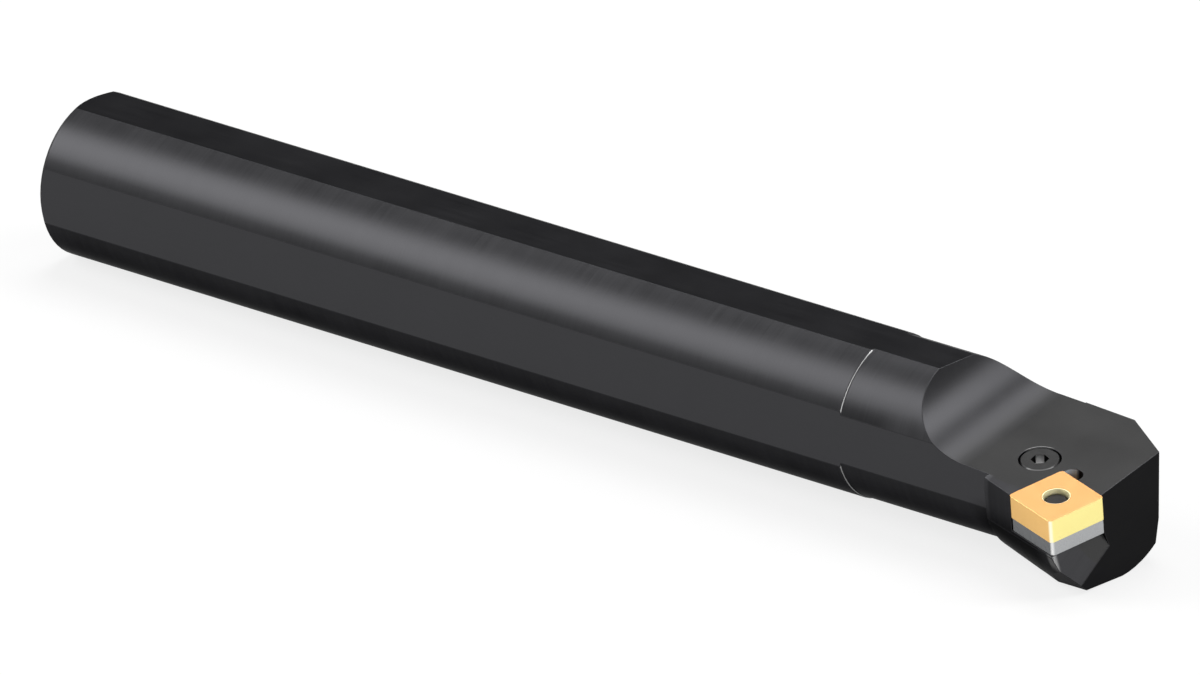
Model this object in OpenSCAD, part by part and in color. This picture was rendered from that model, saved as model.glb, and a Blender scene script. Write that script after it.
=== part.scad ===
// Left-hand boring bar for a square negative insert, held by a lever clamp.
// Millimetres. The bar lies along +X with its axis on the X axis, +Z is up, and
// the cutting side faces -Y. The origin is the centre of the tail face.

/* [Bar] */
// Length from the tail face to the insert's nose
reach = 250; // [180:1:400]
// Shank diameter
shank_d = 32; // [31.7:0.1:36]
// Distance from the axis to the top, bottom and side flats
flat_h = 15; // [14:0.1:15.5]
// Chamfer round the tail face
tail_chamfer = 1.2; // [0.4:0.1:3]
// Neck diameter, from the step to the head
neck_d = 31.5; // [31:0.1:31.8]
// Length of the neck and head together, from the step to the nose
neck_l = 55.7; // [48:0.1:120]

/* [Head] */
// Distance from the axis to the nose, the tool's offset
offset_f = 22; // [21.5:0.1:23]
// Length from the head's rear shoulder to the nose
head_l = 20.3; // [18:0.1:24]
// Height of the shoulder where the head widens out of the neck
shoulder = 1.05; // [0.4:0.05:1.5]
// Half angle of the head's flare
flare = 15; // [12:0.5:18]
// How far the front face stands ahead of the nose
front_x = 1.7; // [1.2:0.1:2]
// Distance from the axis to the head's underside
under_d = 16.7; // [16.2:0.1:17.5]
// Turn of the underside about the axis
under_turn = 3; // [0:0.5:6]
// Radius that rounds the underside off towards the far side
under_r = 18.4; // [17.5:0.1:20]
// Distance from the axis to the flat low on the cutting side
low_flat_d = 20.9; // [20:0.1:22]
// Turn of that flat about the axis
low_flat_turn = 41; // [35:0.5:48]
// Distance from the axis to the far corner of the front face
far_corner_y = 8.25; // [5:0.05:12]
// Angle of the bevel behind that corner to the axis
far_bevel = 30; // [20:1:45]
// Depth below the axis from which the bevel leans in
far_lean_z = 8.4; // [6:0.1:12]
// Angle by which it leans in
far_lean = 9; // [4:0.5:14]

/* [Gullet] */
// Radius of the chip gullet behind the pocket
gullet_r = 15.3; // [10:0.1:18]
// Length from the gullet's rear edge to the nose
gullet_l = 40.9; // [37:0.1:46]

/* [Pocket] */
// Lead of the insert's front edge, seen from above
lead = 15; // [12:0.5:18]
// Tilt of the pocket across the bar
radial_tilt = 10; // [6:0.5:12]
// Tilt of the pocket along the bar
axial_tilt = 3.5; // [1:0.5:6]
// How far the insert's top stands above the head's top face
insert_proud = 0.38; // [0.1:0.02:0.8]
// Inset of the head's upright side from the insert's corner
side_inset = 0.45; // [0.3:0.05:0.8]
// Inset of the leaning side below it from the insert's outer side
body_inset = 0.27; // [0.2:0.01:0.5]
// Radius of the relief hole in the pocket's back corner
relief_r = 2.05; // [1.5:0.05:2.3]
// Slope of the end relief below the shim's front edge, to the insert's axis
end_slope = 19.5; // [15:0.5:24]
// Turn of the end relief towards the bar's far side
end_turn = 7.4; // [4:0.1:10]
// Inset of the end relief from the insert's corner
end_inset = 2.95; // [2.7:0.05:3.4]
// Width of the end relief across the bar
end_w = 13.4; // [12:0.1:15]
// Lean of the end relief's inner wall
end_wall = 19.5; // [10:0.5:30]
// Radius on the edge below the nose
edge_r = 0.5; // [0.2:0.1:0.8]

/* [Insert and shim] */
// Side of the square insert
insert_side = 12.7; // [12.3:0.1:13.5]
// Thickness of the insert
insert_t = 4.76; // [4.2:0.02:5.2]
// Nose radius of the insert
nose_r = 0.8; // [0.4:0.1:1.2]
// Diameter of the insert's hole
insert_hole_d = 5.16; // [5.1:0.01:5.5]
// Thickness of the shim
shim_t = 3.18; // [2.8:0.02:3.6]
// Inset of the shim from the insert's cutting sides
shim_inset = 0.42; // [0.3:0.02:0.7]
// Clearance of the shim from the pocket's walls
shim_gap = 0.3; // [0.2:0.05:0.5]
// Diameter of the hole through the shim, which holds its sleeve
sleeve_hole_d = 7.2; // [7:0.1:7.8]
// Wall of the slotted sleeve
sleeve_wall = 0.7; // [0.5:0.05:0.8]
// Slot along the sleeve
sleeve_slot = 1.2; // [0.8:0.1:2]
// How deep the sleeve sits in the bar
sleeve_seat = 1.4; // [1:0.1:2]

/* [Clamp] */
// Thread diameter of the lock screw
screw_d = 8; // [7.8:0.1:8.4]
// Length of the lock screw
screw_l = 14; // [13.8:0.1:15]
// Width across flats of the screw's hexagon socket
socket_af = 3; // [2.5:0.1:3.5]
// Depth of the socket
socket_h = 2.8; // [2:0.1:4]
// Distance from the insert's centre to the screw along the insert's outer side
screw_back = 12.74; // [12.5:0.02:14]
// Distance from the insert's centre to the screw across that side
screw_in = 5.94; // [5:0.02:7]
// Depth of the screw's groove
groove_depth = 1.5; // [1.2:0.1:1.8]
// Diameter of the lever's head
lever_head_d = 4.6; // [4.4:0.02:4.6]
// Depth of the lever's head below the insert's top
lever_sunk = 0.9; // [0.5:0.1:1.5]
// Diameter of the lever's upright stem
lever_stem_d = 3.6; // [3:0.1:4]
// Width of the lever's foot
lever_foot_w = 4; // [3.6:0.1:4.4]
// Height of the lever's foot
lever_foot_h = 3.4; // [3.2:0.1:3.8]
// Height of the lever's toe in the screw's groove
lever_toe_h = 2; // [1.6:0.1:2.2]
// How far the lever's head leans towards the screw when it holds the insert
lean = 0.2; // [0.1:0.02:0.2]

/* [Hidden] */
$fn = 96;

// Clearances of the clamp
thread_gap = 0.05;
sleeve_gap = 0.02;
seat_gap = 0.3;
foot_gap = 0.3;
foot_room = 0.8;
groove_gap = 0.06;
groove_play = 0.35;
toe_gap = 0.15;
// Room between the shim's seat and the lever's foot, and between foot and screw
foot_drop = 0.6;
foot_back = 0.6;
// Step from the sleeve's bore to the narrower one below it
bore_step = 1;
// Turn of the screw's socket to the insert's outer side
socket_turn = 39;

shank_r = shank_d / 2;
neck_r = neck_d / 2;
neck_x = reach - neck_l;
head_x = reach - head_l;
face_x = reach + front_x;
centre = insert_side / 2;
// Longer than any cut has to be
far = 100;

// The insert's sharp corner, seen from above: the nose circle touches x = reach
// and y = -offset_f, and its tangents along the insert's sides cross here
corner_x = reach - nose_r + nose_r * (cos(lead) - sin(lead));
corner_y = -offset_f + nose_r - nose_r * (cos(lead) + sin(lead));
// Turn of the insert within the tilted plane that shows as the lead from above
turn = atan((tan(lead) * cos(radial_tilt) - sin(radial_tilt) * sin(axial_tilt))
            / cos(axial_tilt));

// Centre of the rounding at the head's underside, which lies a little towards the
// cutting side, and dips a little below it
under_side = 3.4;
under_dip = 0.1;
under_c = [-under_side, under_r - under_d + under_dip];
// Angle at which that rounding runs out along the neck's far side
far_side_slant = 8.5;

// Heights in the insert's frame, where Z = 0 is the insert's top
floor_z = -insert_t - shim_t;
seat_z = floor_z - sleeve_seat;
foot_z = seat_z - lever_foot_h - foot_drop;
toe_z = foot_z + (lever_foot_h - lever_toe_h) / 2;
screw_z = -insert_proud;

// The lock screw, as seen from the insert's centre
screw_reach = norm([screw_back, screw_in]);
lever_turn = atan2(screw_in, -screw_back);
groove_r = screw_d / 2 - groove_depth;

// The pocket's tilt, about the insert's sharp corner
module tilted() {
  translate([corner_x, corner_y, 0]) rotate([radial_tilt, axial_tilt, 0]) children();
}

// The insert's frame: X runs along its outer side towards the nose, Y across it
module pocket_frame() {
  tilted() rotate([0, 0, -turn]) children();
}

// The upright axis that insert, shim and lever share, with X towards the screw
module insert_axis() {
  pocket_frame() translate([-centre, centre, 0]) rotate([0, 0, lever_turn]) children();
}

module screw_axis() {
  insert_axis() translate([screw_reach, 0, 0]) children();
}

// The end relief's frame: X is square to its face, Z runs up the edge to the corner
module end_frame() {
  pocket_frame() rotate([0, -end_slope, 0]) rotate([0, 0, end_turn]) children();
}

// A square plate, inset from the insert's cutting sides and from the pocket's walls
module square_plate(front, back, t) {
  size = insert_side - front - back;
  mid = [-centre + (back - front) / 2, centre + (front - back) / 2];
  translate(mid) linear_extrude(t) {
    square([size - 2 * nose_r, size], center = true);
    square([size, size - 2 * nose_r], center = true);
    for (x = [-1, 1], y = [-1, 1]) translate([x, y] * (size / 2 - nose_r)) circle(nose_r);
  }
}

// All that lies further than d below the axis, turned towards the cutting side
module below(d, angle) {
  rotate([-angle, 0, 0]) translate([-far, -far, -d - far])
    cube([reach + 2 * far, 2 * far, far]);
}

// Shank and neck, turned in one, with a small bevel between them
module turned_blank() {
  rotate([90, 0, 90]) rotate_extrude() polygon([
    [0, 0], [shank_r - tail_chamfer, 0], [shank_r, tail_chamfer], [shank_r, neck_x],
    [neck_r, neck_x + shank_r - neck_r], [neck_r, face_x], [0, face_x]
  ]);
}

// What is taken off the neck's far side towards the front face
module far_side_cut() {
  difference() {
    translate([head_x, 0, -far]) cube([far, far, far]);
    translate([face_x, under_c[0], under_c[1]]) rotate([0, 90, -far_side_slant])
      cylinder(h = 2 * far, r = under_r, center = true);
  }
}

// The head widens from its shoulder in a cone about the bar's axis, rounded off
// below, with an upright side that leans in below the insert
module flared_head() {
  length = face_x - head_x;
  r = neck_r + shoulder;
  difference() {
    intersection() {
      translate([head_x, 0, 0]) rotate([0, 90, 0])
        cylinder(h = length, r1 = r, r2 = r + length * tan(flare));
      translate([head_x - 1, 0, 0]) rotate([90, 0, 90]) linear_extrude(length + 2) {
        translate(under_c) circle(under_r);
        translate([under_c[0] - far, -far / 2]) square([far, far]);
      }
      translate([corner_x, corner_y, 0]) rotate([0, 0, -lead])
        translate([-far, side_inset, -far]) cube(2 * far);
      pocket_frame() translate([-far, body_inset, -far]) cube(2 * far);
    }
    below(under_d, under_turn);
    below(low_flat_d, low_flat_turn);
  }
}

// What is milled off above the head: the top face and the round gullet behind it
module top_cut() {
  slope = tan(axial_tilt);
  x = reach - gullet_l + gullet_r;
  face = -insert_proud / cos(axial_tilt);
  y = face - (x - corner_x) * slope + gullet_r / cos(axial_tilt);
  translate([0, corner_y, 0]) rotate([90 + radial_tilt, 0, 0])
    linear_extrude(2 * far, center = true) {
      polygon([
        [x, y - gullet_r], [x + far, face - (x + far - corner_x) * slope],
        [x + far, far], [x, far]
      ]);
      translate([x, y]) circle(gullet_r);
      translate([x - gullet_r, y]) square([gullet_r + 1, far]);
    }
}

// The seat of insert and shim, open to the front and the cutting side, with a
// relief hole in its back corner
module pocket_cut() {
  pocket_frame() {
    translate([-insert_side, insert_side - far, floor_z]) cube([far, far, far]);
    translate([relief_r - insert_side, insert_side + relief_r / 3, floor_z])
      cylinder(h = far, r = relief_r);
  }
}

// The bevel behind the far front corner, which leans in lower down
module far_bevel_cut() {
  translate([face_x, far_corner_y, 0]) rotate([0, 0, -far_bevel]) {
    translate([-far, 0, -far]) cube(2 * far);
    translate([0, 0, -far_lean_z]) rotate([-far_lean, 0, 0])
      translate([-far, 0, -far]) cube([2 * far, far, far]);
  }
}

// The sloping face below the shim's front edge, with a wall on its inner side,
// and the rounded edge below the nose
module end_relief() {
  c = [-end_inset - edge_r, (body_inset + edge_r) / cos(end_turn) + end_inset * tan(end_turn)];
  end_frame() {
    translate([-end_inset, end_w, floor_z]) rotate([end_wall, 0, 0])
      translate([0, -far, -far]) cube([far, far, 2 * far]);
    translate([0, 0, -far]) linear_extrude(far) difference() {
      translate(c) polygon([[0, 0], [edge_r + 1, 0], [edge_r + 1, -edge_r - 1], [0, -edge_r - 1]]);
      translate(c) circle(edge_r);
    }
  }
}

// Bores and channel for the clamp, below the pocket and behind it
module clamp_cavity() {
  insert_axis() {
    translate([0, 0, seat_z]) cylinder(h = far, d = sleeve_hole_d);
    translate([0, 0, foot_z - foot_gap]) cylinder(h = far, d = sleeve_hole_d - bore_step);
    translate([0, -lever_foot_w / 2 - foot_gap, foot_z - foot_gap])
      cube([screw_reach, lever_foot_w + 2 * foot_gap, lever_foot_h + foot_gap + foot_room]);
  }
  screw_axis() translate([0, 0, screw_z - screw_l - 1])
    cylinder(h = screw_l + 3, r = screw_d / 2 + thread_gap);
}

module bar() {
  color([0.16, 0.16, 0.17]) difference() {
    union() {
      difference() {
        turned_blank();
        far_side_cut();
      }
      flared_head();
    }
    translate([-1, -far, flat_h]) cube([reach, 2 * far, far]);
    translate([-1, -far, -flat_h - far]) cube([head_x + 1, 2 * far, far]);
    translate([-1, -flat_h - far, -far]) cube([head_x + 1, far, 2 * far]);
    top_cut();
    pocket_cut();
    far_bevel_cut();
    end_relief();
    clamp_cavity();
  }
}

module insert() {
  color([0.93, 0.74, 0.42]) difference() {
    pocket_frame() translate([0, 0, -insert_t]) square_plate(0, 0, insert_t);
    insert_axis() translate([0, 0, -insert_t - 1]) cylinder(h = insert_t + 2, d = insert_hole_d);
  }
}

module shim() {
  color([0.55, 0.56, 0.58]) difference() {
    pocket_frame() translate([0, 0, floor_z]) square_plate(shim_inset, shim_gap, shim_t);
    insert_axis() translate([0, 0, floor_z - 1]) cylinder(h = shim_t + 2, d = sleeve_hole_d);
  }
}

// A slotted spring sleeve that pins the shim to the pocket's floor
module shim_sleeve() {
  d = sleeve_hole_d - 2 * sleeve_gap;
  h = shim_t - seat_gap + sleeve_seat;
  color([0.5, 0.5, 0.52]) insert_axis() translate([0, 0, seat_z]) difference() {
    cylinder(h = h, d = d);
    translate([0, 0, -1]) cylinder(h = h + 2, d = d - 2 * sleeve_wall);
    translate([-d, -sleeve_slot / 2, -1]) cube([d, sleeve_slot, h + 2]);
  }
}

// The cranked lever: a crowned head in the insert's hole, a stem, and a foot
// whose toe reaches into the screw's groove
module lever() {
  r = lever_head_d / 2;
  top = -lever_sunk;
  bevel = 0.28;
  crown = 0.1;
  crown_h = 1.3;
  crown_low = 1.9;
  neck_h = 3;
  color([0.3, 0.3, 0.31]) insert_axis() {
    translate([lean, 0, 0]) rotate_extrude() polygon([
      [0, foot_z + 1], [lever_stem_d / 2, foot_z + 1], [lever_stem_d / 2, top - neck_h],
      [r - crown, top - crown_low], [r, top - crown_h], [r - crown, top - bevel],
      [r - crown - bevel, top], [0, top]
    ]);
    translate([0, 0, foot_z]) cylinder(h = lever_foot_h, d = lever_foot_w);
    translate([0, -lever_foot_w / 2, foot_z])
      cube([screw_reach - screw_d / 2 - foot_back, lever_foot_w, lever_foot_h]);
    translate([0, -lever_foot_w / 2, toe_z])
      cube([screw_reach - groove_r - toe_gap, lever_foot_w, lever_toe_h]);
  }
}

// The lock screw: a socket in its top, the thread's body, the groove for the
// lever's toe, and a smaller end
module lock_screw() {
  r = screw_d / 2;
  bevel = 0.4;
  end_step = 0.7;
  end_r = r - end_step;
  end = screw_z - screw_l;
  groove_top = toe_z + lever_toe_h + groove_gap;
  groove_end = toe_z - groove_play;
  color([0.2, 0.2, 0.21]) screw_axis() difference() {
    rotate_extrude() polygon([
      [0, end], [end_r - bevel, end], [end_r, end + bevel], [end_r, groove_end],
      [groove_r, groove_end], [groove_r, groove_top], [r - bevel, groove_top],
      [r, groove_top + bevel], [r, screw_z - bevel], [r - bevel, screw_z], [0, screw_z]
    ]);
    translate([0, 0, screw_z - socket_h]) rotate([0, 0, socket_turn + turn - lever_turn])
      cylinder(h = socket_h + 1, d = socket_af / cos(30), $fn = 6);
  }
}

bar();
insert();
shim();
shim_sleeve();
lever();
lock_screw();
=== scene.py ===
# %% [markdown]
# A boring bar turns the inside of a bore on a lathe. A square carbide insert sits on
# a shim in a pocket at the bar's head, and a cranked lever pulls it into the pocket
# when the lock screw goes down. The solids come ready made from the frame. Here their
# edges are broken as a file would, the screw gets its thread, and every piece gets
# the finish of its metal.

# %% The frame
from math import atan, cos, degrees, pi, radians, sin, tan
import bpy
from mathutils import Matrix, Vector


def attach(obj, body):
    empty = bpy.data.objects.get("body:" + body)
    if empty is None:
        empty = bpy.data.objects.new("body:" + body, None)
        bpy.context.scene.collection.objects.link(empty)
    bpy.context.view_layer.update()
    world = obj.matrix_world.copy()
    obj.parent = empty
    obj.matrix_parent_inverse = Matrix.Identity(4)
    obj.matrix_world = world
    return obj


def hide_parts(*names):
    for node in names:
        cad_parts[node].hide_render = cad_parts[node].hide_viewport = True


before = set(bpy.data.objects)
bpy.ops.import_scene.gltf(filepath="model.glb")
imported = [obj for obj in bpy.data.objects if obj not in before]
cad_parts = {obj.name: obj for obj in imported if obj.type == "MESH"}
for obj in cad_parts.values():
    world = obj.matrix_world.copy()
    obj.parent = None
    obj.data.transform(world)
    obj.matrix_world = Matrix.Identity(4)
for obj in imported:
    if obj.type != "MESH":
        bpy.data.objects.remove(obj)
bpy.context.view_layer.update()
bpy.ops.object.select_all(action="DESELECT")
print("nodes:", ", ".join(sorted(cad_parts)))

# %% [markdown]
# The picture was taken with a very long lens, so lines that are parallel on the bar
# stay parallel. A 950 mm lens six metres away does nearly the same. Its place is found
# from a turn about the upright, an angle above level and the point that it looks at.
# The turn is counted from -Y, the side that the insert's nose points to, because
# that makes a picture from the insert's side a turn of zero.

# %% The camera
MM = 0.001
CAMERA_TURN = radians(38.94)
CAMERA_HEIGHT = radians(22.2)
LENS = 950
DISTANCE = 6.025
SEES_AS_FAR_AS = 100
LOOK_AT = Vector((82.97, 51.7, -29.26)) * MM


def towards(turn, height):
    """The direction at a turn from -Y towards +X, and at a height above level."""
    return Vector((sin(turn) * cos(height), -cos(turn) * cos(height), sin(height)))


to_camera = towards(CAMERA_TURN, CAMERA_HEIGHT)
camera = bpy.data.objects.new("camera", bpy.data.cameras.new("camera"))
camera.data.lens = LENS
camera.data.clip_end = SEES_AS_FAR_AS
camera.location = LOOK_AT + to_camera * DISTANCE
camera.rotation_euler = (-to_camera).to_track_quat("-Z", "Y").to_euler()
bpy.context.collection.objects.link(camera)
bpy.context.scene.camera = camera
print("camera at", [round(v, 3) for v in camera.location])

# %% [markdown]
# Materials are sums: how round, how far from an edge, how much noise. They could be
# joined up by hand, one node and one link after another, but nobody reads that easily.
# A small class wraps an output of a node instead, so that a sum is written as it would
# be on paper, and each sign in it adds the Math node that works it out. Everything that
# isn't a sum, such as a noise or a mix of colours, comes from its one method called
# node, and the words that are used again and again are short methods on top of that.

# %% Shader sums


class Wire:
    """An output socket that can be reckoned with."""

    def __init__(self, tree, socket):
        self.tree = tree
        self.socket = socket

    def node(self, kind, out=0, settings=(), sockets=()):
        """A new node: its settings first, then the values or wires of its sockets."""
        made = self.tree.nodes.new(kind)
        for name, value in dict(settings).items():
            setattr(made, name, value)
        for name, value in dict(sockets).items():
            if isinstance(value, Wire):
                self.tree.links.new(value.socket, made.inputs[name])
            else:
                made.inputs[name].default_value = value
        return Wire(self.tree, made.outputs[out])

    def sum(self, sign, *values):
        return self.node("ShaderNodeMath", 0, {"operation": sign}, enumerate(values))

    def __add__(self, other):
        return self.sum("ADD", self, other)

    def __sub__(self, other):
        return self.sum("SUBTRACT", self, other)

    def __rsub__(self, other):
        return self.sum("SUBTRACT", other, self)

    def __mul__(self, other):
        return self.sum("MULTIPLY", self, other)

    def __pow__(self, other):
        return self.sum("POWER", self, other)

    def most(self, other):
        return self.sum("MAXIMUM", self, other)

    def above(self, level, soft):
        """0 below a level and 1 above it, with a soft step between."""
        return self.node("ShaderNodeMapRange", 0, {"interpolation_type": "SMOOTHSTEP"},
                         {0: self, 1: level - soft, 2: level + soft})

    def below(self, level, soft):
        """1 below a level and 0 above it."""
        return 1 - self.above(level, soft)

    def noise(self, scale, detail):
        """Noise from 0 to 1 at a place, which is a wire of three numbers."""
        return self.node("ShaderNodeTexNoise", 0, {"noise_dimensions": "3D"},
                         {"Vector": self, "Scale": scale, "Detail": detail})

    def ripple(self, detail):
        """Noise from 0 to 1 along a single number."""
        return self.node("ShaderNodeTexNoise", 0, {"noise_dimensions": "1D"},
                         {"W": self, "Scale": 1.0, "Detail": detail})

    def swing(self, amount):
        """How far a noise is from its middle, times an amount."""
        return (self - 0.5) * amount

    def stretched(self, x, y, z):
        """A place whose three directions are scaled on their own."""
        return self.node("ShaderNodeVectorMath", 0, {"operation": "MULTIPLY"},
                         {0: self, 1: (x, y, z)})

    def split(self):
        """The three coordinates of a place."""
        parts = self.node("ShaderNodeSeparateXYZ", 0, (), {0: self})
        return [Wire(self.tree, out) for out in parts.socket.node.outputs]

    def between(self, low, high):
        """A colour between two others, at this wire's value."""
        return self.node("ShaderNodeMix", 2, {"data_type": "RGBA"}, {0: self, 6: low, 7: high})


print("a wire can:", ", ".join(name for name in vars(Wire) if not name.startswith("_")))

# %% [markdown]
# Every piece here is metal, so one function makes them all. Metal has no colour of its
# own besides what it mirrors: Base Color tints that head on, and Specular Tint where
# the surface is seen at a slant. A black steel has a Base Color of only 3 per cent,
# and a Specular Tint of 40 per cent is what lets its slanting faces shine. The recipe
# of a finish works in millimetres and gives colour, roughness and the height of the
# surface in micrometres, which a Bump node turns into the tool marks' sheen.

# %% Greys and metals
MICROMETRE = 1e-6
BLUE_OF_OXIDE = 1.06


def grey(level, warm=0.0):
    """A grey of that level, a little warmer or cooler."""
    return (level * (1 + warm), level, level * (1 - warm), 1)


def blued(level):
    """The grey of blackened steel, a trace bluer than neutral."""
    return (level, level, level * BLUE_OF_OXIDE, 1)


def metal(name, slant_tint, recipe):
    """A metal whose recipe takes a place in millimetres."""
    material = bpy.data.materials.new(name)
    material.use_nodes = True
    tree = material.node_tree
    shader = tree.nodes["Principled BSDF"]
    shader.inputs["Metallic"].default_value = 1
    shader.inputs["Specular Tint"].default_value = slant_tint
    start = Wire(tree, None)
    place = start.node("ShaderNodeTexCoord", 3).stretched(1 / MM, 1 / MM, 1 / MM)
    colour, roughness, height = recipe(place)
    bump = start.node("ShaderNodeBump", 0, (),
                      {"Strength": 1.0, "Distance": MICROMETRE, "Height": height})
    for socket, wire in (("Base Color", colour), ("Roughness", roughness), ("Normal", bump)):
        tree.links.new(wire.socket, shader.inputs[socket])
    print(name, len(tree.nodes), "nodes")
    return material


print("the oxide is", round((BLUE_OF_OXIDE - 1) * 100), "per cent bluer than a grey")

# %% [markdown]
# A negative insert has square sides, so the pocket itself is tilted to give the cutting
# edges their clearance: 10 degrees about the bar's axis and 3.5 degrees along it, with
# the edge turned 15 degrees. Screw, holes and insert all stand square to that tilt.
# Three directions describe it: ALONG and ACROSS the insert's sides and UP out of its
# top. The masks of the finishes measure along them, in millimetres.

# %% Where the pocket lies
RADIAL_TILT = radians(10)
AXIAL_TILT = radians(3.5)
LEAD = radians(15)
CORNER = Vector((249.766, -22.18, 0))
SIDE = 12.7
SEAT_DEPTH = 7.94
HOLE_R = 2.58
RELIEF_R = 2.05
SCREW_R = 4.0
SCREW_TOP = Vector((234.467, -5.758, 3.45))
# Two level directions over the head, square to each other
ASKEW = Vector((0.777, 0.630, 0.0))
FAR_SIDE = Vector((-0.630, 0.777, 0.0))

tilt = Matrix.Rotation(AXIAL_TILT, 3, "Y") @ Matrix.Rotation(RADIAL_TILT, 3, "X")
turned_edge = tan(LEAD) * cos(RADIAL_TILT) - sin(RADIAL_TILT) * sin(AXIAL_TILT)
pocket = tilt @ Matrix.Rotation(-atan(turned_edge / cos(AXIAL_TILT)), 3, "Z")
ALONG, ACROSS, UP = pocket.col[0], pocket.col[1], pocket.col[2]
INSERT_MIDDLE = CORNER + (ACROSS - ALONG) * SIDE / 2
RELIEF = CORNER + ALONG * (RELIEF_R - SIDE) + ACROSS * (SIDE + RELIEF_R / 3)
print("the insert's upright axis", [round(v, 4) for v in UP])


def measured(place, origin, direction):
    """How far a place is from an origin in a direction."""
    off = place.node("ShaderNodeVectorMath", 0, {"operation": "SUBTRACT"}, {0: place, 1: origin})
    return off.node("ShaderNodeVectorMath", 1, {"operation": "DOT_PRODUCT"},
                    {0: off, 1: direction})


def from_axis(place, origin):
    """How far a place is from a tilted upright axis, and how far below its origin."""
    along, across = measured(place, origin, ALONG), measured(place, origin, ACROSS)
    return (along ** 2 + across ** 2) ** 0.5, measured(place, origin, -UP)


# %% [markdown]
# The bar is one piece of alloy steel, turned, milled and then blackened in a hot salt
# bath. The oxide is thin, so every tool mark stays: fine rings on what was turned, long
# strokes on the flats, arcs where the head was milled, a spiral on the faced tail and
# straight passes on the front. A mask for each of these comes from where the surface
# lies, which needs no seams and no painting, because every surface of the bar can be
# told from the others by its place.

# %% Where the bar was cut
FLAT = 15.0
SKIN = 0.03
SHARP = 0.01
NECK_START = 194.3
NECK_R = 15.75
GULLET_START = 205
HEAD_START = 229.7
FRONT = 251.7


def bar_cuts(x, y, z):
    """Masks for the flats, the milled head, the turned rounds and the two end faces."""
    radius = (y ** 2 + z ** 2) ** 0.5
    flat = z.most(y * -1).most(z * -1).above(FLAT - SKIN, SHARP) * x.below(HEAD_START + 1, 0.5)
    milled = radius.below(NECK_R - 0.12, 0.05) * (1 - flat) * x.above(GULLET_START, 1)
    return {
        "radius": radius,
        "flat": flat,
        "milled": milled,
        "turned": (1 - flat) * (1 - milled),
        "tail": x.below(0.06, 0.04),
        "front": x.above(FRONT - 0.05, 0.02),
    }


print("the neck is", 2 * NECK_R, "mm across, and the head starts at", HEAD_START, "mm")

# %% [markdown]
# A turning tool leaves rings, so the noise there changes fast along the bar and
# slowly round it. An end mill leaves long strokes on the flats and arcs on the head,
# and facing leaves a spiral. Each could be a picture wrapped round the bar, but noise
# that is stretched the way that the tool went has no seams and never repeats.

# %% Its tool marks
# How many marks there are to a millimetre, along each direction
RINGS = (3.2, 0.04, 0.04)
STROKES = (0.05, 3.6, 3.6)
PASSES = (0.3, 0.25, 4.5)
ARCS = 4.5
SPIRAL = 5.0
# The middle of the arcs that the cutter left on the head
ARC_X = 236
ARC_Y = 46


def tool_marks(place, x, y, cut):
    """Noise from 0 to 1, drawn out the way that each tool went."""
    rings = place.stretched(*RINGS).noise(1.0, 4)
    strokes = place.stretched(*STROKES).noise(1.0, 4)
    passes = place.stretched(*PASSES).noise(1.0, 3)
    arcs = (((x - ARC_X) ** 2 + (y - ARC_Y) ** 2) ** 0.5 * ARCS).ripple(1.0)
    spiral = (cut["radius"] * SPIRAL).ripple(2.0)
    sides = rings * cut["turned"] + strokes * cut["flat"] + arcs * cut["milled"]
    sides = sides * ((1 - cut["tail"]) * (1 - cut["front"]))
    return sides + spiral * cut["tail"] + passes * cut["front"]


print("about", RINGS[0], "turned rings to a millimetre")

# %% [markdown]
# In the picture the black is deepest on the top flat, on the front, low on the head,
# beside the side flat and on the steep end of the gullet. Four places are light: the
# thin ring where the neck starts, the lip of the screw's hole, one side of the relief
# hole behind the insert and the corner below its nose. Here the dark places are painted
# shade and the light ones painted highlights: masks set them in the colour, so they
# match the picture, and they stay where they are in any other light too.

# %% Painted shade and painted highlights
# How much painted shade each place gets
TOP_DEPTH = 0.375
FRONT_DEPTH = 0.75
LOW_DEPTH = 0.9
BESIDE_DEPTH = 0.6
STEEP_DEPTH = 0.5
# Where along, beside or above the bar's axis those places start and end
LOW_START = 227
LOW_END = 245
BESIDE_FROM = 14.2
STEEP_FROM = 10.5


def painted_shade(x, y, z, cut):
    """Painted shade, where the picture shows the deepest black."""
    top = z.above(FLAT - SKIN, SHARP) * cut["flat"] * TOP_DEPTH
    front = cut["front"] * FRONT_DEPTH
    low = x.above(LOW_START, 3) * x.below(LOW_END, 2) * (z * -1).above(5, 3) * LOW_DEPTH
    beside = (y * -1).above(BESIDE_FROM, 0.9) * z.above(3, 2) * cut["turned"]
    beside = beside * x.below(GULLET_START, 3) * BESIDE_DEPTH
    steep = z.above(STEEP_FROM, 3.5) * cut["milled"] * STEEP_DEPTH
    return top.most(front).most(low).most(beside).most(steep)


def neck_ring_highlight(x, y, cut):
    """A painted highlight on the thin turned step, strongest on the insert's side."""
    ring = x.above(NECK_START + 0.02, 0.02) - x.above(NECK_START + 0.24, 0.02)
    return ring * (1 - cut["flat"]) * (1 - y.above(1, 1.5) * 0.8)


def screw_lip_highlight(place):
    """A painted highlight on the edge of the screw's hole, on the side away from the insert's nose.
    """
    off, down = from_axis(place, SCREW_TOP)
    lip = off.above(SCREW_R - 0.05, 0.03) * off.below(SCREW_R + 0.3, 0.05) * down.below(0.7, 0.1)
    return lip * measured(place, SCREW_TOP, FAR_SIDE).above(3.35, 0.35) * 0.45


def hole_painted_light(place):
    """Painted light on the side of the relief hole that is light in the picture."""
    off, down = from_axis(place, RELIEF)
    hole_light = off.below(RELIEF_R + 0.04, 0.02) * down.above(0.45, 0.03)
    hole_light = hole_light * down.below(SEAT_DEPTH - 0.04, 0.03)
    return hole_light * measured(place, RELIEF, ASKEW).below(1.1, 0.4) * down.below(3.0, 1.2)


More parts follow.
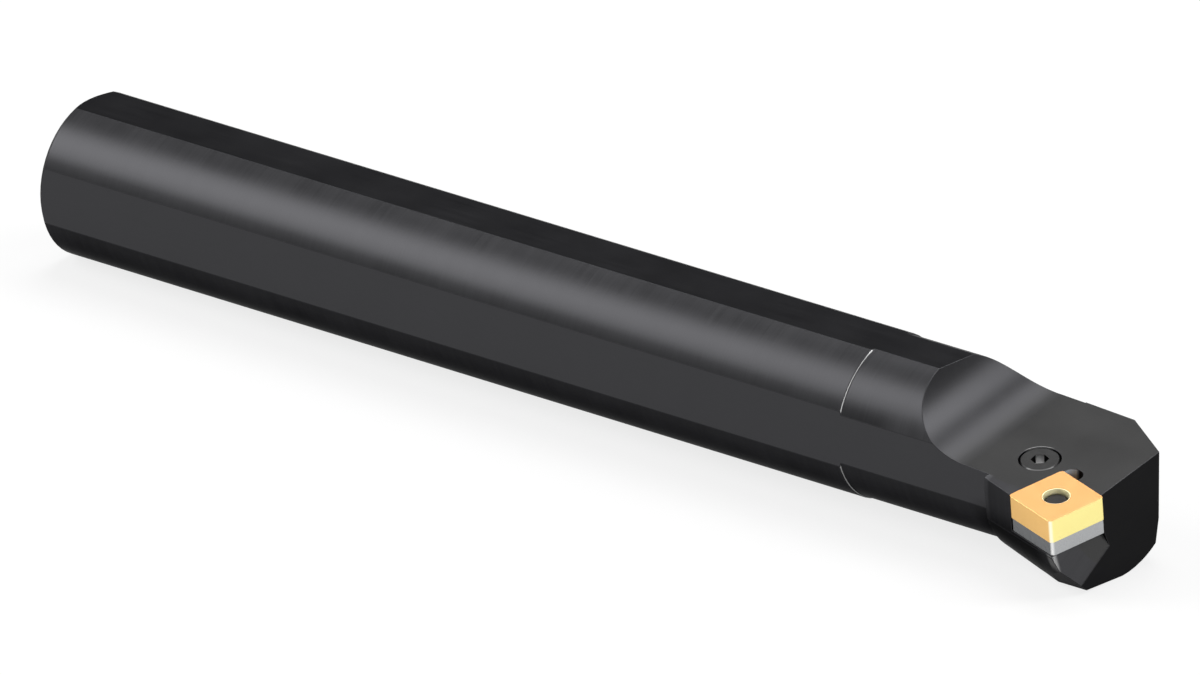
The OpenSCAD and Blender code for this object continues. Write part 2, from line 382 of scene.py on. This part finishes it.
def corner_highlight(place):
    """A painted highlight on the bar's corner below the insert's nose."""
    ahead, aside = measured(place, CORNER, ALONG), measured(place, CORNER, ACROSS)
    down = measured(place, CORNER, -UP)
    corner = ahead.above(-2.0, 0.5) * aside.below(1.2, 0.4)
    return corner * down.above(SEAT_DEPTH + 0.01, 0.05) * down.below(11.5, 1.5)


print("the relief hole is at", [round(v, 2) for v in RELIEF])

# %% [markdown]
# The masks come together in one recipe. Its greys are laid over one another as paint
# would be, the widest first: the black of the bath, the head's, the side flat's painted
# light, then the painted shade of the deep places, and the painted highlights last. Every
# mask ends in a soft step, so no border looks cut out. The broken edges get a spotted
# finish of their own, as edges that are handled often have.

# %% The finish of the bar
SLANT_TINT = grey(0.4)
BLACK = (blued(0.0245), blued(0.0365))
HEAD_BLACK = (grey(0.0232), grey(0.035))
# Painted light and shade: a lighter black for the side flat, a darker one for the shaded places,
# and greys for the painted highlights
SIDE_PAINTED_LIGHT = blued(0.055)
SHADE_PAINTED_BLACK = blued(0.012)
HOLE_PAINTED_GREY = grey(0.74, -0.14)
CORNER_HIGHLIGHT_GREY = grey(0.19)
HIGHLIGHT_GREY = grey(0.3)
HEAD_BLACK_FROM = 222
SIDE_SHARE = 0.65
CORNER_SHARE = 0.8
BLACK_ROUGHNESS = 0.385
WALL_ROUGHER = 0.15
# The height of the tool marks in micrometres, and how much lower the milled ones are
MARK_HEIGHT = 3.0
MILLED_LOWER = 1.5


def bar_finish(place):
    x, y, z = place.split()
    cut = bar_cuts(x, y, z)
    marks = tool_marks(place, x, y, cut)
    cloud = place.noise(0.09, 4)
    shade = cloud.swing(0.8) + marks.swing(0.9 - cut["milled"] * 0.4) + 0.5
    black = shade.between(*BLACK)
    black = (cut["milled"] * x.above(HEAD_BLACK_FROM, 5)).between(black, shade.between(*HEAD_BLACK))
    # Painted light: the side flat is painted a lighter black
    side = (y * -1).above(FLAT - SKIN, SHARP) * cut["flat"]
    black = (side * SIDE_SHARE).between(black, SIDE_PAINTED_LIGHT)
    # Painted shade on the top flat, the front, low on the head, beside the side flat and on the
    # steep end of the gullet
    black = painted_shade(x, y, z, cut).between(black, SHADE_PAINTED_BLACK)
    # Painted light on one side of the relief hole's wall
    hole_light = hole_painted_light(place)
    black = hole_light.between(black, HOLE_PAINTED_GREY)
    # A painted highlight on the bar's corner below the insert's nose
    black = (corner_highlight(place) * CORNER_SHARE).between(black, CORNER_HIGHLIGHT_GREY)
    # Painted highlights on the neck's ring and on the lip of the screw's hole
    painted_highlights = neck_ring_highlight(x, y, cut).most(screw_lip_highlight(place))
    roughness = marks.swing(0.16) + cloud.swing(0.1) + BLACK_ROUGHNESS + hole_light * WALL_ROUGHER
    height = marks * (MARK_HEIGHT - cut["milled"] * MILLED_LOWER)
    return painted_highlights.between(black, HIGHLIGHT_GREY), roughness, height


def worn_finish(place):
    spots = place.noise(1.6, 3)
    return spots.between(blued(0.022), blued(0.04)), spots.swing(0.2) + 0.42, spots


black_steel = metal("black_steel", SLANT_TINT, bar_finish)
worn_edge = metal("worn_edge", SLANT_TINT, worn_finish)

# %% [markdown]
# The insert is pressed and sintered carbide with a gold coating. In the picture its top
# is the reddest, its front is lighter, the nose and the hole are the lightest, and a
# thin darker rim runs round the hole. On a real insert one coating covers every face.
# Here each face has its own gold, found by its distance from the nose: the lighter golds
# of the front, the left side, the nose and the hole are painted light, and the darker rim
# is painted shade. This fits the picture in this light and is less true in another.

# %% The insert's coating
GOLD_TOP = ((0.74, 0.38, 0.14, 1), (0.86, 0.46, 0.19, 1))
# Painted light: golds for the left side, the front, the hole and the nose, and a darker painted
# shade for the rim
GOLD_LEFT_PAINTED_LIGHT = ((0.84, 0.51, 0.18, 1), (0.91, 0.56, 0.22, 1))
GOLD_FRONT_PAINTED_LIGHT = ((0.98, 0.85, 0.32, 1), (1.0, 0.90, 0.36, 1))
GOLD_RIM_PAINTED_SHADE = (0.5, 0.24, 0.07, 1)
GOLD_HOLE_PAINTED_LIGHT = (1.0, 0.95, 0.66, 1)
GOLD_NOSE_HIGHLIGHT = (1.0, 0.96, 0.72, 1)
GOLD_SLANT = (1.0, 0.9, 0.7, 1)
GOLD_ROUGHNESS = 0.18
HOLE_ROUGHER = 0.4
RIM_SHARE = 0.5
# How far below the top the sides' painted light starts, and how far the nose's painted highlight
# reaches
SIDES_FROM = 0.07
NOSE_HIGHLIGHT_REACH = 0.5


def near_nose(place, reach):
    """The upright corner at the nose, up to a reach from both of its sides."""
    ahead = measured(place, CORNER, ALONG).above(-reach, 0.25)
    return ahead * measured(place, CORNER, ACROSS).below(reach, 0.25)


def gold_finish(place):
    grain = place.noise(9.0, 3)
    cloud = place.noise(0.35, 2)
    shade = cloud.swing(0.7) + grain.swing(0.5) + 0.5
    off, down = from_axis(place, INSERT_MIDDLE)
    side = down.above(SIDES_FROM, 0.03)
    # Painted light: lighter golds on the front, the left side, the hole and the nose, and a darker
    # painted shade on the rim round the hole
    front = measured(place, CORNER, ALONG).above(-0.35, 0.3) * side
    left = measured(place, CORNER, ACROSS).below(0.35, 0.3) * side
    hole = off.below(HOLE_R + 0.06, 0.03)
    rim = off.below(HOLE_R + 0.26, 0.05) * (1 - side)
    coat = left.between(shade.between(*GOLD_TOP), shade.between(*GOLD_LEFT_PAINTED_LIGHT))
    coat = front.between(coat, shade.between(*GOLD_FRONT_PAINTED_LIGHT))
    coat = (rim * RIM_SHARE).between(coat, GOLD_RIM_PAINTED_SHADE)
    coat = hole.between(coat, GOLD_HOLE_PAINTED_LIGHT)
    coat = (near_nose(place, NOSE_HIGHLIGHT_REACH) * side).between(coat, GOLD_NOSE_HIGHLIGHT)
    return coat, grain.swing(0.1) + GOLD_ROUGHNESS + hole * HOLE_ROUGHER, grain * 0.8


gold = metal("gold_coating", GOLD_SLANT, gold_finish)

# %% [markdown]
# The shim is bare ground carbide, with the fine parallel lines of the grinding wheel, and its front
# is painted lighter and its nose lighter still, as painted light.
# The sleeve is drawn spring steel, with lines along its height, and the lever is
# hardened steel with a little scale. Each needs only one noise, stretched or plain,
# because little of them is seen.

# %% The shim, the sleeve and the lever
CARBIDE = (grey(0.13, -0.03), grey(0.20, -0.03))
# Painted light for the shim's front, and a painted highlight for its nose
CARBIDE_FRONT_PAINTED_LIGHT = grey(0.41, -0.02)
CARBIDE_NOSE_HIGHLIGHT = grey(0.8)
SHIM_HIGHLIGHT_REACH = 0.9
SPRING = (grey(0.2, -0.03), grey(0.34, -0.03))
HARDENED = (grey(0.02, 0.01), grey(0.036, 0.02))


def ground_finish(place):
    lines = place.stretched(0.7, 6.0, 0.7).noise(1.0, 3)
    # Painted light: the front is painted lighter and the nose lighter still
    front = measured(place, CORNER, ALONG).above(-0.8, 0.3)
    colour = front.between(lines.between(*CARBIDE), CARBIDE_FRONT_PAINTED_LIGHT)
    colour = near_nose(place, SHIM_HIGHLIGHT_REACH).between(colour, CARBIDE_NOSE_HIGHLIGHT)
    return colour, lines.swing(0.2) + 0.3, lines * 1.5


def spring_finish(place):
    drawn = place.stretched(3.0, 3.0, 0.2).noise(1.0, 3)
    return drawn.between(*SPRING), drawn.swing(0.2) + 0.34, drawn * 1.5


def hard_finish(place):
    grain = place.noise(7.0, 2)
    return place.noise(0.9, 4).between(*HARDENED), grain.swing(0.15) + 0.36, grain * 1.5


ground = metal("ground_carbide", grey(0.9), ground_finish)
spring = metal("spring_steel", grey(0.6), spring_finish)
hard = metal("hardened_steel", SLANT_TINT, hard_finish)

# %% [markdown]
# The lock screw is blackened like the head, and its rim is painted darker still, a painted
# shade. In the picture two arcs of the rim and the middle of the hexagon socket are light,
# and here they are painted highlights. A texture could be painted for this, but a few
# distances from the screw's axis say it all. Like the painted highlights of the bar they are
# part of the colour, so they are there from every side.

# %% The screw's finish
SOCKET_AF = 3.0
SOCKET_REACH = 1.78
# Painted shade for the rim, and a painted highlight for two arcs of it and the socket's middle
RIM_PAINTED_SHADE = grey(0.008)
SCREW_HIGHLIGHT_GREY = grey(0.5)


def screw_finish(place):
    grain = place.noise(8.0, 2)
    across, down = from_axis(place, SCREW_TOP)
    askew = measured(place, SCREW_TOP, ASKEW)
    # Painted shade on the rim, and painted highlights on two arcs of it and on the middle of the
    # socket
    rim = across.above(SCREW_R - 0.38, 0.02) * down.below(0.5, 0.05)
    arcs = rim * (askew ** 2).below(5.5, 2.0)
    socket = across.below(SOCKET_REACH, 0.02) * down.above(0.05, 0.03)
    socket_highlight = socket * askew.above(-0.8, 0.06) * askew.below(0.85, 0.06)
    black = (rim * 0.8).between(place.noise(0.8, 3).between(*HEAD_BLACK), RIM_PAINTED_SHADE)
    colour = (arcs * 0.3 + socket_highlight).between(black, SCREW_HIGHLIGHT_GREY)
    return colour, grain.swing(0.15) + 0.36, grain * 1.5


black_screw = metal("blackened_screw", SLANT_TINT, screw_finish)

# %% [markdown]
# No edge on a real tool is perfectly sharp. A copy of each solid has its loose
# triangles merged, its flat faces made whole again, and its sharp edges broken by a
# Bevel modifier, which can give the new faces a material of their own. A bevel in the
# mesh catches the light from every side, and one that is only shaded does not.

# %% Broken edges
MERGE_WITHIN = 2e-6
SAME_PLANE = radians(0.3)
SHARP_FROM = radians(15)
EDGE_SEGMENTS = 2


def active(obj):
    bpy.ops.object.select_all(action="DESELECT")
    obj.select_set(True)
    bpy.context.view_layer.objects.active = obj
    return obj


def apply_all(obj):
    active(obj)
    for modifier in list(obj.modifiers):
        bpy.ops.object.modifier_apply(modifier=modifier.name)


def merged_copy(node):
    """A copy of a solid from the frame, with its triangles joined and its flats whole."""
    piece = bpy.data.objects.new(node + "_piece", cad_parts[node].data.copy())
    bpy.context.collection.objects.link(piece)
    active(piece)
    bpy.ops.object.mode_set(mode="EDIT")
    bpy.ops.mesh.select_all(action="SELECT")
    bpy.ops.mesh.remove_doubles(threshold=MERGE_WITHIN)
    bpy.ops.mesh.dissolve_limited(angle_limit=SAME_PLANE)
    bpy.ops.object.mode_set(mode="OBJECT")
    fixed_normals = piece.data.attributes.get("custom_normal")
    if fixed_normals:
        piece.data.attributes.remove(fixed_normals)
    return piece


def break_edges(piece, width, *materials):
    """The sharp edges get a small round, in the last of the materials."""
    piece.data.materials.clear()
    for material in materials:
        piece.data.materials.append(material)
    for polygon in piece.data.polygons:
        polygon.material_index = 0
    active(piece)
    bpy.ops.object.shade_smooth_by_angle(angle=SHARP_FROM)
    bevel = piece.modifiers.new("broken edge", "BEVEL")
    bevel.width = width * MM
    bevel.segments = EDGE_SEGMENTS
    bevel.limit_method = "ANGLE"
    bevel.angle_limit = SHARP_FROM
    bevel.use_clamp_overlap = False
    bevel.harden_normals = True
    bevel.material = len(materials) - 1
    apply_all(piece)
    print(piece.name, len(piece.data.polygons), "faces")
    return piece


def dress(piece, node, body):
    """The piece stands for a node and moves with a body."""
    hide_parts(node)
    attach(piece, body)


print("an edge is broken where it turns by", round(degrees(SHARP_FROM)), "degrees or more")

# %% [markdown]
# A bar's edges are filed to about a tenth of a millimetre. The insert's are honed to
# less than half of that, so that they still cut. The bar's broken edges get the worn
# finish as their second material, and the insert's stay gold, because its coating
# covers them too.

# %% The bar and the insert
BAR_EDGE = 0.1
INSERT_EDGE = 0.04

dress(break_edges(merged_copy("bar"), BAR_EDGE, black_steel, worn_edge),
      "bar", "bar")
dress(break_edges(merged_copy("insert"), INSERT_EDGE, gold),
      "insert", "bar")

# %% [markdown]
# The shim stands a little clear of the pocket's walls in the solid. Seen from the
# front, that leaves a dark gap beside its rounded corners. So the copy's two corners
# that meet the walls get a smaller radius, and its back moves closer to the walls,
# still without touching them. Moving the points of the mesh does both, and the other
# sides stay as they are.

# %% The shim
SHIM_EDGE = 0.06
SHIM_PLAY = 0.2
SHIM_FRONT = 0.42
SHIM_BACK = 12.4
SHIM_ROUND = 0.8
SHIM_BACK_ROUND = 0.3
A_HAIR = 1e-3


def tighter_corner(vertex, side_a, side_b, inwards):
    """Moves a point of a rounded upright corner onto one of a smaller radius."""
    place = vertex.co / MM - CORNER
    off_a = (place.dot(ALONG) - side_a) * inwards
    off_b = (place.dot(ACROSS) - side_b) * inwards
    if max(off_a, off_b) <= SHIM_ROUND + A_HAIR:
        smaller = 1 - SHIM_BACK_ROUND / SHIM_ROUND
        vertex.co -= (ALONG * off_a + ACROSS * off_b) * inwards * smaller * MM


shim = merged_copy("shim")
for vertex in shim.data.vertices:
    tighter_corner(vertex, -SHIM_BACK, SHIM_FRONT, 1)
    tighter_corner(vertex, -SHIM_FRONT, SHIM_BACK, -1)
    back = vertex.co / MM - CORNER
    if -back.dot(ALONG) > SIDE - SHIM_ROUND:
        vertex.co -= ALONG * SHIM_PLAY * MM
    if back.dot(ACROSS) > SIDE - SHIM_ROUND:
        vertex.co += ACROSS * SHIM_PLAY * MM
dress(break_edges(shim, SHIM_EDGE, ground), "shim", "bar")

# %% [markdown]
# The slotted sleeve holds the shim down on the pocket's floor, and the cranked lever
# stands in it. The insert hides both of them, apart from the lever's round head. They
# are made as carefully as the rest, because the lever rocks when the screw travels.

# %% The sleeve and the lever
SLEEVE_EDGE = 0.08
LEVER_EDGE = 0.15

dress(break_edges(merged_copy("shim_sleeve"), SLEEVE_EDGE, spring),
      "shim_sleeve", "bar")
dress(break_edges(merged_copy("lever"), LEVER_EDGE, hard),
      "lever", "lever")

# %% [markdown]
# The lock screw has a metric fine thread of 1 mm pitch. Its body is spun from half of
# its outline, with a chamfered top, a plain band, the core that carries the thread, the
# groove for the lever's toe and a plain end. All of this is done upright at the origin,
# because the tilted place comes last.

# %% The screw's body
CORE_R = 3.39
SCREW_L = 14.0
CHAMFER = 0.4
BAND = 0.95
THREAD_START = 1.5
GROOVE_TOP = -10.2
GROOVE_FLOOR = -12.61
GROOVE_R = 2.5
GROOVE_ROUND = 0.15
CORE_BREAK = 0.3
END_R = 3.3
END_BREAK = 0.1
SPIN_STEPS = 72
MERGE_ON_AXIS = 1e-4


def outline_object(name, points, closed):
    """Points in the upright XZ plane, joined by edges."""
    mesh = bpy.data.meshes.new(name)
    edges = [(i, i + 1) for i in range(len(points) - 1)]
    if closed:
        edges.append((len(points) - 1, 0))
    mesh.from_pydata([(r, 0, z) for r, z in points], edges, [])
    obj = bpy.data.objects.new(name, mesh)
    bpy.context.collection.objects.link(obj)
    return active(obj)


def spun(name, points, steps):
    """A solid of revolution from half its outline, which starts and ends on the axis."""
    obj = outline_object(name, points, False)
    bpy.ops.object.mode_set(mode="EDIT")
    bpy.ops.mesh.select_all(action="SELECT")
    bpy.ops.mesh.spin(steps=steps, angle=2 * pi, center=(0, 0, 0), axis=(0, 0, 1))
    bpy.ops.mesh.select_all(action="SELECT")
    bpy.ops.mesh.remove_doubles(threshold=MERGE_ON_AXIS)
    bpy.ops.mesh.normals_make_consistent(inside=False)
    bpy.ops.object.mode_set(mode="OBJECT")
    return obj


screw = spun("lock_screw_piece", [
    (0, 0), (SCREW_R - CHAMFER, 0), (SCREW_R, -CHAMFER), (SCREW_R, -BAND),
    (CORE_R, -THREAD_START), (CORE_R, GROOVE_TOP + CORE_BREAK), (CORE_R - CORE_BREAK, GROOVE_TOP),
    (GROOVE_R + GROOVE_ROUND, GROOVE_TOP), (GROOVE_R, GROOVE_TOP - GROOVE_ROUND),
    (GROOVE_R, GROOVE_FLOOR + GROOVE_ROUND), (GROOVE_R + GROOVE_ROUND, GROOVE_FLOOR),
    (END_R - END_BREAK, GROOVE_FLOOR), (END_R, GROOVE_FLOOR - END_BREAK),
    (END_R, CHAMFER - SCREW_L), (END_R - CHAMFER, -SCREW_L), (0, -SCREW_L),
], SPIN_STEPS)
print("body", len(screw.data.polygons), "faces")

# %% [markdown]
# A bump texture could only hint at a thread. Here one tooth's outline is swept along a
# helix by a Screw modifier, so the thread is real in the outline too. A cut thread runs
# out gently at both ends, so the tooth sinks into the core there, over 0.3 of a turn.
# Its root lies inside the core, and a Boolean joins the two.

# %% The thread
PITCH = 1.0
TURNS = 8
STEPS_PER_TURN = 60
TOOTH_START = -9.47
TOOTH_HALF = 0.42
TAPER = 0.3
ROOT_R = CORE_R - 0.1


def joined(obj, other, operation):
    """One mesh from two, by a Boolean, and the other is removed."""
    boolean = obj.modifiers.new(operation.lower(), "BOOLEAN")
    boolean.operation = operation
    boolean.solver = "EXACT"
    boolean.object = other
    apply_all(obj)
    bpy.data.objects.remove(other)


# The tooth's radius and half height, from its root to its crest
TOOTH = ((CORE_R - 0.15, 0.43), (CORE_R, 0.41), (SCREW_R - 0.02, 0.06))
lower_side = [(r, TOOTH_START - half) for r, half in TOOTH]
upper_side = [(r, TOOTH_START + half) for r, half in reversed(TOOTH)]
tooth = outline_object("tooth", lower_side + upper_side, True)
helix = tooth.modifiers.new("helix", "SCREW")
helix.axis = "Z"
helix.angle = 2 * pi * TURNS
helix.screw_offset = PITCH * TURNS
helix.steps = helix.render_steps = STEPS_PER_TURN * TURNS
apply_all(tooth)
for vertex in tooth.data.vertices:
    r = vertex.co.xy.length
    climbed = (vertex.co.z - TOOTH_START - TOOTH_HALF) / PITCH
    from_end = min(climbed, TURNS - climbed)
    if r > ROOT_R and from_end < TAPER:
        keep = max(from_end, 0) / TAPER
        vertex.co.xy *= (ROOT_R + (r - ROOT_R) * keep) / r
bpy.ops.object.mode_set(mode="EDIT")
bpy.ops.mesh.select_all(action="DESELECT")
bpy.ops.mesh.select_mode(type="EDGE")
bpy.ops.mesh.select_non_manifold(extend=False)
bpy.ops.mesh.edge_face_add()
bpy.ops.mesh.select_all(action="SELECT")
bpy.ops.mesh.normals_make_consistent(inside=False)
bpy.ops.object.mode_set(mode="OBJECT")
print("tooth", len(tooth.data.vertices), "points")
joined(screw, tooth, "UNION")

# %% [markdown]
# An outline that is spun in only six steps gives a hexagon, with the cone that the
# drill leaves below it. A Boolean cuts the key's socket with it, which is less work
# than drawing the socket's faces into the body. Then the screw is laid into its hole.

# %% The socket and the screw's place
SOCKET_DEPTH = 2.8
SOCKET_CONE = 0.6
SOCKET_SIDES = 6
SOCKET_TURN = radians(39)
CLEAR_ABOVE = 1
SMOOTH_BELOW = radians(30)

corner_r = SOCKET_AF / 2 / cos(pi / SOCKET_SIDES)
socket = spun("socket", [
    (0, CLEAR_ABOVE), (corner_r, CLEAR_ABOVE), (corner_r, -SOCKET_DEPTH),
    (0, -SOCKET_DEPTH - SOCKET_CONE),
], SOCKET_SIDES)
socket.data.transform(Matrix.Rotation(SOCKET_TURN, 4, "Z"))
joined(screw, socket, "DIFFERENCE")
screw.data.transform(Matrix.Scale(MM, 4) @ Matrix.Translation(SCREW_TOP) @ tilt.to_4x4())
screw.data.materials.append(black_screw)
active(screw)
bpy.ops.object.shade_smooth_by_angle(angle=SMOOTH_BELOW)
dress(screw, "lock_screw", "lock_screw")
print("lock screw", len(screw.data.polygons), "faces")

# %% [markdown]
# The bar lies on a plain white bench. Its underside is lowest at the head, so the
# bench is laid to touch the tail's edge and the head. To the camera, and in what the
# metal mirrors, the bench is nearly all white, and a share of its own shade stays,
# so that the bar keeps its shadow.

# %% The bench
LOW_TAIL = (1.2, -15.0)
LOW_HEAD = (251.0, -16.58)
JUST_BELOW = 2e-5
BENCH_SIZE = 8
BENCH_GREY = grey(0.62)
WHITE = grey(1.0)
CAMERA_WHITE = 0.8
MIRRORED_WHITE = 0.5

slope = (LOW_HEAD[1] - LOW_TAIL[1]) / (LOW_HEAD[0] - LOW_TAIL[0])
height_at_origin = (LOW_TAIL[1] - LOW_TAIL[0] * slope) * MM - JUST_BELOW
bpy.ops.mesh.primitive_plane_add(size=BENCH_SIZE)
bench = bpy.context.object
bench.name = "bench"
for vertex in bench.data.vertices:
    vertex.co.z = height_at_origin + vertex.co.x * slope
print("the bench falls", round(-slope / MM, 2), "mm in a metre")


def seen(start, camera_share, mirrored_share):
    """A share for the camera, and one for what metal mirrors or glass lets through."""
    rays = [start.node("ShaderNodeLightPath", out) for out in
            ("Is Camera Ray", "Is Glossy Ray", "Is Transmission Ray")]
    return (rays[0] * camera_share).most(rays[1].most(rays[2]) * mirrored_share)


white = bpy.data.materials.new("bench_white")
white.use_nodes = True
tree = white.node_tree
tree.nodes.clear()
start = Wire(tree, None)
lit = start.node("ShaderNodeBsdfDiffuse", 0, (), {"Color": BENCH_GREY})
glow = start.node("ShaderNodeEmission", 0, (), {"Color": WHITE, "Strength": 1.0})
share = seen(start, CAMERA_WHITE, MIRRORED_WHITE)
mixed = start.node("ShaderNodeMixShader", 0, (), {0: share, 1: lit, 2: glow})
output = tree.nodes.new("ShaderNodeOutputMaterial")
tree.links.new(mixed.socket, output.inputs[0])
bench.data.materials.append(white)

# %% [markdown]
# Metal shows what stands round it, so the lamps are large soft discs whose place is
# chosen by what they do: one draws the bright line along the round of the shank, one
# the stripes in the gullet, one lifts the head's top face, and two low ones light the
# faces at the end. A lamp's power grows with its area, so each is given by how bright
# it looks from the bar, and its watts are worked out. The sky is white to the camera
# and in the metal, and dim as a light.

# %% Lamps and sky
SKY = 0.3
LAMP_FAR = 3.0
# Name, turn from -Y towards +X and height above level in degrees, half angle seen
# from the bar, radiance, and how far along the bar it is aimed
LAMPS = (
    ("tail_box", 299.0, 34.2, 18.3, 8.1, 95),
    ("back_box", 138.1, 43.6, 14.9, 8.1, 225),
    ("top_box", 213.8, 66.6, 18.0, 7.3, 225),
    ("end_box", 109.0, 7.0, 12.0, 3.2, 250),
    ("front_box", 76.0, 12.0, 12.0, 8.0, 250),
)

for name, turn, height, half, radiance, along in LAMPS:
    lamp = bpy.data.lights.new(name, "AREA")
    lamp.shape = "DISK"
    lamp.size = 2 * LAMP_FAR * tan(radians(half))
    lamp.energy = radiance * pi * pi * (lamp.size / 2) ** 2
    holder = bpy.data.objects.new(name, lamp)
    direction = towards(radians(turn), radians(height))
    holder.location = Vector((along, 0, 0)) * MM + direction * LAMP_FAR
    holder.rotation_euler = direction.to_track_quat("Z", "Y").to_euler()
    holder.visible_camera = False
    bpy.context.collection.objects.link(holder)
    print(name, round(lamp.energy, 1), "W")

world = bpy.data.worlds.new("studio")
bpy.context.scene.world = world
world.use_nodes = True
tree = world.node_tree
background = tree.nodes["Background"]
background.inputs["Color"].default_value = WHITE
strength = seen(Wire(tree, None), 1, 1) * (1 - SKY) + SKY
tree.links.new(strength.socket, background.inputs["Strength"])
bpy.context.scene.view_settings.view_transform = "Standard"

# %% [markdown]
# Broken edges take a hair off a solid, and nothing should stick out of it.
